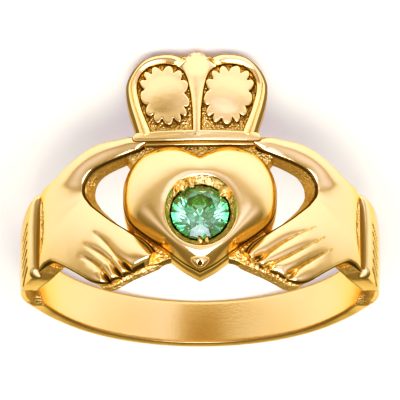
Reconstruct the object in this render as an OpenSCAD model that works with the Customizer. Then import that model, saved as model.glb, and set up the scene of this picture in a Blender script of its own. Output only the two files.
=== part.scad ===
// Claddagh ring: two hands hold a crowned heart that is set with one round stone.
// The ring lies on its side as it comes to rest, on the top of the crown and the back of the band.
// It is drawn upright first: the head faces -Y, the crown points up the finger's axis, +Z.

/* [Finger and band] */
// Radius of the finger hole, a 17.3 mm hole (US size 7)
finger_r = 8.65; // [8:0.05:10]
// Width of the band at the back
band_w = 2.45; // [2.2:0.05:3]
// Thickness of the band at the back, in the middle of its width
band_t = 1.05; // [0.9:0.05:1.4]
// Thickness of the band at its two edges
band_edge_t = 0.5; // [0.4:0.05:0.8]
// Width of the sleeves beside the cuffs
sleeve_w = 4.4; // [4:0.1:5]
// Thickness of the sleeves, where the ring is widest
sleeve_t = 0.95; // [0.85:0.05:1.3]

/* [Hands] */
// Height of the hands from the fingertips to the thumbs
hand_h = 7.92; // [7.5:0.02:8.4]
// Thickness of the hands
hand_t = 1.4; // [1.3:0.05:1.8]
// Thickness of the thin rim under the fingertips
tip_rim_t = 0.75; // [0.6:0.05:0.9]
// Width of the lines between the fingers
finger_line_w = 0.34; // [0.2:0.02:0.5]
// Width of the rolled rim of each cuff
cuff_rim_w = 0.56; // [0.4:0.02:0.8]
// Distance between the folds of each sleeve
fold_step = 0.5; // [0.4:0.05:0.6]

/* [Crown] */
// Width of the crown
crown_w = 7.36; // [7:0.02:7.8]
// Height of the crown from its base bar to its lobes
crown_h = 4.84; // [4.5:0.02:5.2]
// Distance between the heart's lobes and the crown's base bar
crown_gap = 0.5; // [0.4:0.05:0.7]
// How far the crown stands to one side of the heart
crown_shift = 0.17; // [0:0.01:0.3]
// Thickness of the crown's frame
crown_t = 1.45; // [1.3:0.05:1.8]
// Thickness of the crown's sunk panels
panel_t = 0.95; // [0.8:0.05:1.1]
// Thickness of the scalloped plates that stand in the panels
island_t = 1.3; // [1.2:0.05:1.5]
// Width of each scalloped plate
island_w = 2.56; // [2.3:0.02:2.7]
// Height of each scalloped plate
island_h = 3.32; // [3:0.02:3.5]
// Number of scallops round each plate
scallops = 12; // [9:1:15]

/* [Heart] */
// Width of the heart
heart_w = 8; // [7.4:0.1:8.4]
// Height of the heart from its tip to its lobes
heart_h = 7; // [6.6:0.05:7.4]
// Distance of the heart's tip from the middle of the band
heart_drop = 4.42; // [4.2:0.02:4.8]
// Thickness of the heart at its rim
heart_edge_t = 1.35; // [1.2:0.05:1.6]
// Thickness of the heart at the mouth of the seat
heart_t = 2.65; // [2.4:0.05:3]
// Diameter of the round nub at the heart's tip
nub_d = 0.6; // [0.4:0.05:0.8]
// Thickness of the sunk metal round the heart
web_t = 0.7; // [0.6:0.05:0.9]

/* [Stone] */
// Diameter of the stone
stone_d = 3; // [2.6:0.05:3.2]
// Diameter of the stone's table
table_d = 1.68; // [1.3:0.02:1.9]
// Thickness of the stone's girdle
girdle_t = 0.06; // [0.04:0.01:0.1]
// Angle of the facets above the girdle
crown_angle = 34.5; // [30:0.5:38]
// Angle of the facets below the girdle
pavilion_angle = 40.75; // [39:0.25:43]
// Distance of the stone's centre from the heart's tip
stone_up = 2.97; // [2.8:0.01:3.2]
// Depth of the girdle below the mouth of the seat
stone_depth = 0.46; // [0.4:0.02:0.6]
// Gap between the stone and its seat
seat_gap = 0.05; // [0.03:0.01:0.1]
// Width of the seat's sloping mouth
mouth_w = 0.4; // [0.3:0.02:0.5]
// Diameter of the hole behind the stone
back_hole_d = 1; // [0.8:0.05:1.2]
// Diameter of the beads that hold the stone
bead_d = 0.44; // [0.36:0.02:0.5]

/* [Hidden] */
gold = [0.92, 0.72, 0.33];
green = [0.4, 0.78, 0.6];

// Everything solid starts well inside the finger hole, which then trims it.
core_r = finger_r - 0.2;
root_r = finger_r - 1.2;
side_r = finger_r + sleeve_t;
heart_top = heart_h - heart_drop;
crown_foot = heart_top + crown_gap;
crown_top = crown_foot + crown_h;
stone_r = stone_d / 2;
seat_u = stone_up - heart_drop;
seat_w = finger_r + heart_t;
girdle_w = seat_w - stone_depth;
mouth_r = stone_r + mouth_w;

// Where the ring touches what it lies on: a lobe of the crown and the band's back edge.
touch_x = 0.245 * crown_w + crown_shift;
touch_w = sqrt(pow(finger_r, 2) - pow(touch_x, 2));
back_w = finger_r + band_edge_t;
tilt = atan((crown_top - band_w / 2) / (touch_w + back_w));
lift = crown_top * cos(tilt) - touch_w * sin(tilt);
front_y = crown_top * sin(tilt) + (finger_r + crown_t) * cos(tilt);
back_y = (finger_r + band_t) * cos(tilt) + 0.1;

// Outlines of the hands are [angle from the head, share of the hand's height].
hand_top = tall([[14, 0.404], [18, 0.434], [22, 0.455], [27, 0.45], [33, 0.448], [36, 0.434], [42, 0.389],
    [49, 0.322], [55, 0.268], [60, 0.265], [66, 0.265]], hand_h);
hand_foot = tall([[12, -0.404], [14, -0.436], [18, -0.47], [22, -0.492], [26.5, -0.524], [30.5, -0.545],
    [34, -0.537], [40, -0.455], [46, -0.369], [50, -0.309], [54, -0.271], [58, -0.278], [62, -0.308],
    [66, -0.303]], hand_h);
gap_top = tall([[12, 0.442], [18, 0.442], [19, 0.331], [20.5, 0.328], [24, 0.309], [29, 0.293], [33, 0.278],
    [35, 0.263], [37, 0.235], [38.3, 0.202], [39, 0.167]], hand_h);
gap_foot = tall([[12, -0.366], [15, -0.328], [20, -0.246], [24.5, -0.179], [29, -0.096], [33, -0.015],
    [35, 0.025], [37, 0.073], [38.3, 0.114]], hand_h);
gap_middle = [18, 0.076 * hand_h];
finger_lines = [
    tall([[35.2, -0.145], [29.5, -0.297], [22.5, -0.499]], hand_h),
    tall([[38.3, -0.227], [33.2, -0.354], [27.2, -0.518]], hand_h),
    tall([[40.2, -0.313], [36, -0.417], [31, -0.543]], hand_h)];

// Edges of the band are [angle, share of the way from the band's half width to the sleeve's].
sleeve_top = [[57, 0.85], [65, 1], [72, 0.8], [78, 0.54], [90, 0.28], [100, 0.14], [110, 0.06], [125, 0.04],
    [180, 0]];
sleeve_foot = [[57, 1], [63, 1.25], [70, 1.16], [80, 0.92], [90, 0.67], [100, 0.38], [110, 0.14],
    [125, 0.04], [180, 0]];
edge_t = [[57, 1.05 * sleeve_t], [80, 0.97 * sleeve_t], [95, 0.84 * sleeve_t], [110, 1.2 * band_edge_t],
    [125, band_edge_t], [180, band_edge_t]];
middle_t = [[57, 1.32 * sleeve_t], [66, 1.28 * sleeve_t], [75, 1.1 * sleeve_t], [90, sleeve_t],
    [110, 0.88 * band_t], [140, 0.9 * band_t], [180, band_t]];

// Outlines of the flat pieces are one half, as shares of half their width and of their height.
crown_edge = [[0.9, 0], [0.935, 0.066], [0.853, 0.132], [0.902, 0.273], [0.962, 0.438], [1, 0.593],
    [0.997, 0.717], [0.93, 0.839], [0.802, 0.938], [0.652, 0.988], [0.489, 1], [0.34, 0.992],
    [0.231, 0.959], [0.163, 0.926], [0.092, 0.971], [0, 0.992]];
panel_edge = [[0.071, 0.12], [0.076, 0.314], [0.098, 0.521], [0.136, 0.686], [0.204, 0.8], [0.326, 0.864],
    [0.503, 0.884], [0.674, 0.864], [0.799, 0.789], [0.842, 0.686], [0.826, 0.541], [0.772, 0.376],
    [0.69, 0.231], [0.625, 0.128]];
heart_edge = [[0, 0.911], [0.138, 0.954], [0.263, 0.986], [0.4, 1], [0.55, 0.991], [0.7, 0.96],
    [0.825, 0.91], [0.925, 0.834], [0.985, 0.746], [1, 0.653], [0.985, 0.546], [0.925, 0.446],
    [0.788, 0.357], [0.6, 0.263], [0.4, 0.166], [0.2, 0.069], [0, 0]];

function tall(table, h) = [for (p = table) [p[0], p[1] * h]];
function sized(shares, w, h, foot) = [for (p = shares) [p[0] * w / 2, foot + p[1] * h]];

// A point at an angle round the finger from the head, a height along it, and a distance from its axis.
function at(a, u, r) = [r * sin(a), -r * cos(a), u];

function spline_at(p0, p1, p2, p3, t) = 0.5 * (2 * p1 + (p2 - p0) * t
    + (2 * p0 - 5 * p1 + 4 * p2 - p3) * t * t + (3 * p1 - p0 - 3 * p2 + p3) * t * t * t);

// A smooth open curve through the points, with n steps between each two.
function smooth(p, n) = let (last = len(p) - 1) [for (i = [0:last - 1]) for (k = [0:n - 1])
    spline_at(p[max(i - 1, 0)], p[i], p[i + 1], p[min(i + 2, last)], k / n), p[last]];

function mirrored(half) = concat(half, [for (i = [len(half) - 1:-1:0]) if (half[i][0] != 0) [-half[i][0], half[i][1]]]);

// Triangles of a grid of rings: m points round, n rings, closed by the two end rings.
function ring_faces(m, n) = concat(
    [[for (i = [m - 1:-1:0]) i]],
    [for (k = [0:n - 2]) for (i = [0:m - 1]) let (a = k * m + i, b = k * m + (i + 1) % m)
        each [[a, b, a + m], [b, b + m, a + m]]],
    [[for (i = [0:m - 1]) (n - 1) * m + i]]);

// A round bar along a path that grows and shrinks with the radii given.
module bar(path, radii, m = 10) {
    n = len(path);
    rings = [for (k = [0:n - 1]) let (
            run = path[min(k + 1, n - 1)] - path[max(k - 1, 0)],
            t = run / norm(run),
            out = [path[k][0], path[k][1], 0],
            s = cross(t, out / norm(out)),
            side = s / norm(s),
            up = cross(side, t))
        [for (i = [0:m - 1]) let (a = 360 * i / m) path[k] + radii[k] * (cos(a) * side + sin(a) * up)]];
    polyhedron([for (r = rings) each r], ring_faces(m, n), convexity = 4);
}

// A slab that follows the finger between two outlines, with rounded edges on its outside.
module slab(foot, top, a0, a1, thick, drops, columns) {
    rows = len(drops) - 1;
    m = rows + 3;
    sections = [for (i = [0:columns]) let (
            a = a0 + (a1 - a0) * i / columns,
            lo = lookup(a, foot),
            hi = max(lookup(a, top), lo + 0.02),
            r = finger_r + lookup(a, thick))
        concat(
            [for (j = [0:rows]) let (t = (1 - cos(180 * j / rows)) / 2) at(a, lo + (hi - lo) * t, r - drops[j])],
            [at(a, hi, root_r), at(a, lo, root_r)])];
    polyhedron([for (s = sections) each s], ring_faces(m, columns + 1), convexity = 6);
}

// A hole with walls that point at the finger's axis, through an outline seen whole from its middle.
module radial_hole(outline, middle) {
    n = len(outline);
    outer = finger_r + 4;
    points = concat([for (p = outline) at(p[0], p[1], root_r - 0.5)], [for (p = outline) at(p[0], p[1], outer)],
        [at(middle[0], middle[1], root_r - 0.5), at(middle[0], middle[1], outer)]);
    faces = [for (i = [0:n - 1]) let (j = (i + 1) % n)
        each [[j, i, 2 * n], [n + i, n + j, 2 * n + 1], [i, j, n + i], [j, n + j, n + i]]];
    polyhedron(points, faces, convexity = 6);
}

module both_sides() {
    children();
    mirror([1, 0, 0]) children();
}

// A flat outline in the head's plane, cut to a thickness that follows the finger.
module plate(points, thick) {
    intersection() {
        rotate([90, 0, 0]) linear_extrude(finger_r + 3) polygon(points);
        difference() {
            translate([0, 0, -8]) cylinder(r = finger_r + thick, h = 20, $fn = 96);
            translate([0, 0, -9]) cylinder(r = root_r, h = 22, $fn = 24);
        }
    }
}

module band() {
    // Across the band from edge to edge: how far over, and how much of the rise from edge to middle.
    profile = [[-1, 0], [-0.94, 0.4], [-0.75, 0.72], [-0.4, 0.94], [0, 1], [0.4, 0.94], [0.75, 0.72],
        [0.94, 0.4], [1, 0]];
    steps = 60;
    sections = [for (k = [0:steps]) let (
            a = 56 + (360 - 112) * k / steps,
            s = min(a, 360 - a),
            widening = (sleeve_w - band_w) / 2,
            lo = -band_w / 2 - widening * lookup(s, sleeve_foot),
            hi = band_w / 2 + widening * lookup(s, sleeve_top),
            edge = lookup(s, edge_t),
            rise = lookup(s, middle_t) - edge)
        concat(
            [for (p = profile) at(a, (hi + lo) / 2 + p[0] * (hi - lo) / 2,
                finger_r + edge + p[1] * rise)],
            [at(a, hi, root_r), at(a, lo, root_r)])];
    polyhedron([for (s = sections) each s], ring_faces(len(profile) + 2, steps + 1), convexity = 6);
}

// The rolled rim of a cuff, the sunk strip beside it and the slanting folds of the sleeve behind it.
module cuff_rim() {
    r = finger_r + hand_t - 0.24;
    h = cuff_rim_w / 2;
    path = [[58.8, 0.46, -0.25], [59.6, 0.42, -0.05], [61.4, 0.295, 0], [62.6, 0.136, 0], [63, -0.045, 0],
        [63.1, -0.25, 0], [63, -0.43, 0], [62.7, -0.52, -0.03], [62.4, -0.56, -0.15]];
    bar([for (p = path) at(p[0], p[1] * sleeve_w, r + p[2])],
        [0.5 * h, 0.85 * h, h, h, h, h, h, 0.9 * h, 0.6 * h]);
}

module cuff_strip() {
    path = [[59.3, 0.305], [60, 0.18], [60.5, 0], [60.6, -0.16], [60.3, -0.32]];
    bar([for (p = path) at(p[0], p[1] * sleeve_w, finger_r + hand_t - 0.06)], [0.04, 0.22, 0.3, 0.24, 0.04], 8);
}

module sleeve_folds() {
    for (k = [0:4]) {
        u = 0.215 * sleeve_w - fold_step * k;
        bar([at(69, u, side_r + 0.3), at(73, u - 0.22, side_r + 0.2), at(77, u - 0.44, side_r + 0.16)],
            [0.1, 0.2, 0.1], 6);
    }
}

module hand() {
    thick = [[12, hand_t - 0.12], [20, hand_t - 0.04], [30, hand_t], [44, hand_t - 0.02], [54, hand_t - 0.1],
        [66, hand_t - 0.3]];
    difference() {
        slab(hand_foot, hand_top, 13, 65, thick, [0.42, 0.14, 0.03, 0, 0, 0.03, 0.14, 0.42], 26);
        radial_hole(concat(gap_top, [for (i = [len(gap_foot) - 1:-1:0]) gap_foot[i]]), gap_middle);
    }
    // A thin rim carries the fingertips.
    slab([for (p = hand_foot) p - [0, 0.12]], [for (p = hand_foot) p + [0, 0.7]], 13, 34,
        [[9, tip_rim_t], [36, tip_rim_t]], [0.1, 0, 0], 8);
}

module finger_line(line) {
    r = finger_r + hand_t + 0.02;
    h = finger_line_w / 2;
    bar([for (k = [0:2]) at(line[k][0], line[k][1], r - 0.04 * k)], [0.4 * h, h, 1.3 * h], 8);
}

module hands() {
    both_sides() difference() {
        union() {
            hand();
            cuff_rim();
        }
        for (line = finger_lines) finger_line(line);
        cuff_strip();
    }
}

// Sunk metal joins the crown to the heart, and the fingertips to the heart's flanks.
module web() {
    x = crown_w / 2;
    plate([[-0.98 * x, crown_foot + 0.3], [-1.06 * x, heart_top + 0.17], [-0.7 * x, heart_top - 1.2],
        [0.7 * x, heart_top - 1.2], [1.06 * x, heart_top + 0.17], [0.98 * x, crown_foot + 0.3]], web_t);
    flank = [[0.25, 0.2], [0.46, 0.14], [0.6, 0.117], [0.9, 0.131], [1.02, 0.26], [0.82, 0.4], [0.6, 0.42]];
    both_sides() plate(sized(flank, heart_w, heart_h, -heart_drop), web_t);
}

module scalloped(x, u) {
    plate([for (i = [0:71]) let (a = 5 * i, k = 0.5 - 0.075 * abs(cos(a * scallops / 2)))
        [x + island_w * k * sin(a) * (1 + 0.1 * cos(a)), u + island_h * k * cos(a)]], island_t);
}

module crown() {
    translate([-crown_shift, 0, 0]) {
        difference() {
            plate(sized(mirrored(smooth(crown_edge, 2)), crown_w, crown_h, crown_foot), crown_t);
            both_sides() difference() {
                rotate([90, 0, 0]) linear_extrude(finger_r + 4)
                    polygon(sized(smooth(panel_edge, 2), crown_w, crown_h, crown_foot));
                translate([0, 0, -8]) cylinder(r = finger_r + panel_t, h = 20, $fn = 96);
            }
        }
        both_sides() scalloped(0.228 * crown_w, crown_foot + 0.52 * crown_h);
    }
}

// The heart swells from a straight-sided rim to the flat mouth of the seat.
module heart() {
    edge = mirrored(sized(smooth(heart_edge, 2), heart_w, heart_h, -heart_drop));
    steps = [1, 0.97, 0.9, 0.78, 0.62, 0.42, 0.2, 0];
    function wall_w(x) = sqrt(pow(finger_r + heart_edge_t, 2) - x * x);
    rings = [for (t = steps) [for (p = edge) let (
            d = p - [0, seat_u],
            q = [0, seat_u] + d / norm(d) * ((mouth_r + 0.03) * (1 - t) + norm(d) * t),
            swell = pow(1 - pow(t, 2.4), 0.62))
        [q[0], -(wall_w(q[0]) + (seat_w - wall_w(q[0])) * swell), q[1]]]];
    base = [for (p = edge) [p[0], -root_r * 0.8, p[1]]];
    polyhedron([for (r = concat([base], rings)) each r], ring_faces(len(edge), len(steps) + 1), convexity = 6);
    translate([0, -(finger_r + heart_edge_t + nub_d / 2), 0.55 * nub_d - heart_drop])
        sphere(r = nub_d / 2, $fn = 16);
}

// The turned seat: a sloping mouth, a ledge that fits the stone's underside and an open back.
module seat() {
    cone_d = (stone_r + seat_gap - back_hole_d / 2) * tan(pavilion_angle);
    translate([0, 0, seat_u]) rotate([90, 0, 0]) rotate_extrude($fn = 96)
        polygon([[0, core_r - 1], [back_hole_d / 2, core_r - 1], [back_hole_d / 2, girdle_w - cone_d],
            [stone_r + seat_gap, girdle_w], [stone_r + seat_gap, girdle_w + girdle_t + 0.06],
            [mouth_r, seat_w + 0.01], [mouth_r, seat_w + 1], [0, seat_w + 1]]);
}

// Three beads of metal hold the stone down.
module beads() {
    out = stone_r + 0.12;
    for (a = [117, 47, -83])
        translate([out * cos(a), -(girdle_w + girdle_t + 0.26), seat_u + out * sin(a)])
            sphere(r = bead_d / 2, $fn = 24);
}

module casting() {
    band();
    hands();
    web();
    crown();
    heart();
}

module ring_upright() {
    difference() {
        // One closed skin, brought to the ring's overall width.
        resize([2 * side_r, 0, 0]) difference() {
            casting();
            both_sides() sleeve_folds();
            translate([0, 0, -10]) cylinder(r = core_r, h = 24, $fn = 72);
        }
        // Turned, so that the seam of the hole's wall lies in the middle of the metal.
        rotate([0, 0, 15]) translate([0, 0, -10]) cylinder(r = finger_r, h = 24, $fn = 180);
        seat();
    }
    beads();
}

// A round brilliant cut: table, star and kite facets, girdle, and a pavilion that meets in a point.
module stone_upright() {
    rt = table_d / 2;
    hg = girdle_t;
    rise = tan(crown_angle);
    inner = rt * cos(22.5);
    rs = inner + 0.5 * (stone_r - inner);
    table = [for (k = [0:7]) [rt * cos(45 * k), rt * sin(45 * k), hg + (stone_r - rt) * rise]];
    star = [for (k = [0:7]) [rs * cos(45 * k + 22.5), rs * sin(45 * k + 22.5),
        hg + (stone_r - rs * cos(22.5)) * rise]];
    top = [for (k = [0:15]) [stone_r * cos(22.5 * k), stone_r * sin(22.5 * k), hg]];
    low = [for (k = [0:15]) [stone_r * cos(22.5 * k), stone_r * sin(22.5 * k), 0]];
    rp = 0.23 * stone_r;
    drop = tan(pavilion_angle);
    halves = [for (k = [0:7]) [rp * cos(45 * k + 22.5), rp * sin(45 * k + 22.5), -(stone_r - rp) * drop]];
    culet = [0, 0, -stone_r * drop];
    points = concat(table, star, top, low, halves, [culet]);
    faces = concat(
        [[7, 6, 5, 4, 3, 2, 1, 0]],
        [for (k = [0:7]) let (
                t0 = k, t1 = (k + 1) % 8, s = 8 + k, s1 = 8 + (k + 7) % 8,
                g0 = 16 + 2 * k, g1 = g0 + 1, g2 = 16 + (2 * k + 2) % 16, g9 = 16 + (2 * k + 15) % 16)
            each [[t0, t1, s], [t0, s, g0], [t0, g0, s1], [s, g1, g0], [s, g2, g1]]],
        [for (k = [0:15]) let (a = 16 + k, b = 16 + (k + 1) % 16) each [[a, b, b + 16], [a, b + 16, a + 16]]],
        [for (k = [0:7]) let (
                g0 = 32 + 2 * k, g1 = g0 + 1, g2 = 32 + (2 * k + 2) % 16, h = 48 + k, h1 = 48 + (k + 1) % 8)
            each [[g0, g1, h], [g1, g2, h], [g2, h1, h], [h, h1, 56]]]);
    translate([0, -girdle_w, seat_u]) rotate([90, 0, 0]) polyhedron(points, faces);
}

module at_rest() {
    translate([0, (front_y - back_y) / 2, lift]) rotate([-tilt, 0, 0]) rotate([0, 180, 0]) children();
}

module ring() {
    color(gold) at_rest() ring_upright();
}

module stone() {
    color(green) at_rest() stone_upright();
}

ring();
stone();
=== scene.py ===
"""A claddagh ring: two hands hold a crowned heart that is set with one round green stone.

Every piece is made upright and in millimetres: the head faces -Y, and the crown points up the finger's
axis, +Z. A place on it is an angle round the finger from the head, a height along the finger and a distance
from the finger's axis. REST then lays the piece on its side, in metres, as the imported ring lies.
"""

import math

import bmesh
import bpy
from mathutils import Matrix, Vector, noise


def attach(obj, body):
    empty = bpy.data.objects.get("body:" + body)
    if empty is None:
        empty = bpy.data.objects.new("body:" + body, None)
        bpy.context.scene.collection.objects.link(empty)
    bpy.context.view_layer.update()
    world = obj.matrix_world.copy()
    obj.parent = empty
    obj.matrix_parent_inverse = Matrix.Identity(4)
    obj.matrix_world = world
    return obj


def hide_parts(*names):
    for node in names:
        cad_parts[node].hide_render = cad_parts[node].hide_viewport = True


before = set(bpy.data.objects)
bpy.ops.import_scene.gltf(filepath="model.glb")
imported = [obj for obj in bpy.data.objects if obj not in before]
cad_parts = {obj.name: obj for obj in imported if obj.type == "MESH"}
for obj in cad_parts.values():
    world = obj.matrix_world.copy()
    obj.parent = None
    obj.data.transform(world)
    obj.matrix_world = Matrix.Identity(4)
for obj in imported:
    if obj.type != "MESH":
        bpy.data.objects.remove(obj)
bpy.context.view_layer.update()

MM = 0.001

# The finger hole, and the half widths of the band and of its sleeves.
FINGER_R = 8.65
BAND_HALF = 1.225
SLEEVE_HALF = 2.2
# Where the band starts, in degrees from the head.
BAND_START = 56
# Distances across a sleeve and across a hand are measured on drums of these radii.
SIDE_R = 9.6
PLAN_R = 10.0
HAND_T = 1.4

# The heart: its lowest point, its size, and the top of its straight wall and of its dome.
HEART_TIP = -4.42
HEART_HALF = 4
HEART_H = 7
HEART_RIM_R = FINGER_R + 1.35
SEAT_RIM_R = FINGER_R + 2.65

# The stone's seat: its height, the widest part of the stone, the mouth and the open back.
SEAT_U = -1.45
GIRDLE_R = 10.84
MOUTH_R = 1.9
BACK_HOLE_R = 0.5

# The crown: its foot and height, and its middle, which stands a little to one side.
CROWN_FOOT = 3.08
CROWN_H = 4.84
CROWN_HALF = 3.68
CROWN_X = -0.17

# The ring as it lies: how far it is tilted, lifted and moved.
TILT = math.radians(20.857)
LIFT = 4.4025
SHIFT = 1.5477
REST = (
    Matrix.Translation((0, SHIFT * MM, LIFT * MM))
    @ Matrix.Rotation(-TILT, 4, "X")
    @ Matrix.Rotation(math.pi, 4, "Y")
    @ Matrix.Scale(MM, 4)
)

# The places of the finishes in a piece's own list.
POLISHED, CAST, WORN = 0, 1, 2


def at(angle, u, r):
    """The place at an angle round the finger, a height along it and a distance from its axis."""
    a = math.radians(angle)
    return Vector((r * math.sin(a), -r * math.cos(a), u))


def on_drum(x, u, r):
    """The place at the distance r from the finger's axis, behind a point (x, u) of the head's flat plan."""
    return Vector((x, -math.sqrt(max(r * r - x * x, 0.01)), u))


def unrolled(angle, u, r=PLAN_R):
    """The same angle and height on a flat sheet, unrolled from a drum of radius r."""
    return Vector((r * math.radians(angle), u))


def mix(a, b, t):
    return a + (b - a) * t


def step(a, b, x):
    """0 before a, 1 after b, and a smooth rise between them."""
    t = min(max((x - a) / (b - a), 0), 1)
    return t * t * (3 - 2 * t)


def look_up(x, table):
    """The value at x in a table of [x, value], straight between its rows."""
    if x <= table[0][0]:
        return table[0][1]
    for (x0, y0), (x1, y1) in zip(table, table[1:]):
        if x <= x1:
            return mix(y0, y1, (x - x0) / (x1 - x0))
    return table[-1][1]


def curve(points, t, closed=False):
    """The place at t, from 0 to 1, on a smooth curve through the points."""
    n = len(points)
    spans = n if closed else n - 1
    k = min(int(t * spans), spans - 1)
    f = t * spans - k
    pick = (lambda i: points[i % n]) if closed else (lambda i: points[min(max(i, 0), n - 1)])
    return [
        0.5 * (2 * b + (c - a) * f + (2 * a - 5 * b + 4 * c - d) * f * f + (3 * b - a - 3 * c + d) * f**3)
        for a, b, c, d in zip(pick(k - 1), pick(k), pick(k + 1), pick(k + 2))
    ]


def outline(points, count, closed=True):
    """count places on the smooth curve through the points, evenly far apart."""
    fine = [Vector(curve(points, i / (8 * count), closed)) for i in range(8 * count + 1)]
    lengths = [0]
    for a, b in zip(fine, fine[1:]):
        lengths.append(lengths[-1] + (b - a).length)
    steps = count if closed else count - 1
    out, k = [], 0
    for i in range(count):
        want = lengths[-1] * i / steps
        while k < len(lengths) - 2 and lengths[k + 1] < want:
            k += 1
        span = lengths[k + 1] - lengths[k]
        out.append(fine[k].lerp(fine[k + 1], (want - lengths[k]) / span if span else 0))
    return out


def both_halves(right, middle=0.0):
    """A closed loop from its right half, which starts and ends on the upright line x = middle."""
    return right + [Vector((2 * middle - p.x, p.y)) for p in reversed(right[1:-1])]


def inset(loop, depth):
    """The closed flat loop moved inwards."""
    n = len(loop)
    area = sum(loop[i].x * loop[(i + 1) % n].y - loop[(i + 1) % n].x * loop[i].y for i in range(n))
    turn = 1 if area > 0 else -1
    out = []
    for i, p in enumerate(loop):
        run = (loop[(i + 1) % n] - loop[i - 1]).normalized()
        out.append(p + Vector((-run.y, run.x)) * turn * depth)
    return out


def from_line(p, line):
    """How far p is from a line through points, and how far along it the nearest place is, from 0 to 1."""
    best, along = 1e9, 0
    for k, (a, b) in enumerate(zip(line, line[1:])):
        run = b - a
        t = min(max((p - a).dot(run) / run.length_squared, 0), 1)
        d = (p - a - run * t).length
        if d < best:
            best, along = d, (k + t) / (len(line) - 1)
    return best, along


def rough(p, size, depth):
    """A bumpy surface's height at p, for bumps of that size."""
    return depth * noise.noise(p / size)


def sheet(along, across, place):
    """A grid of faces with each corner moved to place(i, j), which may also give its painted shade and grime
    from 0 to 1.
    """
    bm = bmesh.new()
    bmesh.ops.create_grid(bm, x_segments=along, y_segments=across, size=0.5)
    shade_and_grime = bm.verts.layers.float.new("shade_and_grime")
    for v in bm.verts:
        spot = place(round((v.co.x + 0.5) * along), round((v.co.y + 0.5) * across))
        if isinstance(spot, tuple):
            spot, v[shade_and_grime] = spot
        v.co = spot
    return bm


def finished(name, bm, finishes, sharp=40):
    """Closes the mesh, lays it down and hands it to the frame on the root body, in place of the frame's own
    ring.
    """
    bmesh.ops.remove_doubles(bm, verts=bm.verts, dist=0.0004)
    bmesh.ops.delete(bm, geom=[e for e in bm.edges if not e.link_faces], context="EDGES")
    bmesh.ops.holes_fill(bm, edges=[e for e in bm.edges if e.is_boundary], sides=0)
    bmesh.ops.recalc_face_normals(bm, faces=bm.faces)
    bm.transform(REST)
    mesh = bpy.data.meshes.new(name)
    bm.to_mesh(mesh)
    bm.free()
    for polygon in mesh.polygons:
        polygon.use_smooth = True
    mesh.set_sharp_from_angle(angle=math.radians(sharp))
    for finish in finishes:
        mesh.materials.append(finish)
    piece = bpy.data.objects.new(name, mesh)
    bpy.context.collection.objects.link(piece)
    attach(piece, "root")
    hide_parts("ring")


class Value:
    """A socket that can be used in sums."""

    def __init__(self, tree, socket):
        self.tree, self.socket = tree, socket

    def math(self, operation, a, b=0.0):
        return self.tree.node("ShaderNodeMath", {"operation": operation}, {0: a, 1: b})

    def __add__(self, other):
        return self.math("ADD", self, other)

    def __sub__(self, other):
        return self.math("SUBTRACT", self, other)

    def __rsub__(self, other):
        return self.math("SUBTRACT", other, self)

    def __mul__(self, other):
        return self.math("MULTIPLY", self, other)

    def __truediv__(self, other):
        return self.math("DIVIDE", self, other)

    def exp(self):
        return self.math("EXPONENT", self)

    __radd__, __rmul__ = __add__, __mul__


class Tree:
    """The nodes of a material or of the sky."""

    def __init__(self, owner):
        owner.use_nodes = True
        self.tree = owner.node_tree

    def set(self, node, socket, value):
        """Gives a node's socket a link or a plain value."""
        if isinstance(value, Value):
            self.tree.links.new(value.socket, node.inputs[socket])
        else:
            node.inputs[socket].default_value = value

    def node(self, kind, settings=None, inputs=None, output=0):
        """A new node with its settings and sockets, as the value of one of its outputs."""
        node = self.tree.nodes.new(kind)
        for key, value in (settings or {}).items():
            setattr(node, key, value)
        for socket, value in (inputs or {}).items():
            self.set(node, socket, value)
        return Value(self, node.outputs[output])

    def blend(self, factor, a, b):
        return self.node("ShaderNodeMix", {"data_type": "RGBA"}, {0: factor, 6: a, 7: b}, output=2)


class Finish(Tree):
    """One material."""

    def __init__(self, name, **shader):
        self.material = bpy.data.materials.new(name)
        super().__init__(self.material)
        self.shader = self.tree.nodes["Principled BSDF"]
        for socket, value in shader.items():
            self.set(self.shader, socket.replace("_", " "), value)

    def place(self):
        return self.node("ShaderNodeTexCoord", output="Object")

    def clouds(self, size, detail=2.0, roughness=0.5):
        """Noise from 0 to 1 with lumps of that size in millimetres."""
        scale = 1 / (size * MM)
        inputs = {"Vector": self.place(), "Scale": scale, "Detail": detail, "Roughness": roughness}
        return self.node("ShaderNodeTexNoise", inputs=inputs)

    def grains(self, size):
        """Distance from the middle of the nearest grain of that size in millimetres."""
        inputs = {"Vector": self.place(), "Scale": 1 / (size * MM), "Randomness": 1.0}
        return self.node("ShaderNodeTexVoronoi", {"feature": "F1"}, inputs)

    def shade_and_grime(self):
        """0 on open metal and 1 where it is darkest: painted shade along edges and creases, and grime in the
        deep crevices.
        """
        return self.node("ShaderNodeAttribute", {"attribute_name": "shade_and_grime"}, output="Fac")

    def ramp(self, value, low, high):
        """0 where the value is under low, 1 where it is over high."""
        inputs = {"Value": value, "From Min": low, "From Max": high}
        return self.node("ShaderNodeMapRange", {"interpolation_type": "SMOOTHSTEP"}, inputs)

    def bump(self, height, depth):
        """Relief of that depth in millimetres."""
        inputs = {"Strength": 1.0, "Distance": depth * MM, "Height": height}
        self.set(self.shader, "Normal", self.node("ShaderNodeBump", inputs=inputs))


GOLD = (0.83, 0.57, 0.24, 1)
WARM_GOLD = (0.86, 0.61, 0.28, 1)
DEEP_GOLD = (0.6, 0.38, 0.11, 1)
# The near-black brown of painted shade along edges and creases, and of the grime that gathers in the
# crevices.
SHADE_AND_GRIME_BROWN = (0.03, 0.014, 0.003, 1)
# The colour at a glancing angle.
EDGE_GOLD = (1, 0.8, 0.45, 1)
PALE_GREEN = (0.24, 0.62, 0.28, 1)
PALEST_GREEN = (0.36, 0.72, 0.4, 1)
SHADED_GREEN = (0.008, 0.17, 0.04, 1)
PAPER = (0.94, 0.925, 0.8, 1)
PALE_PAPER = (0.96, 0.945, 0.82, 1)


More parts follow.
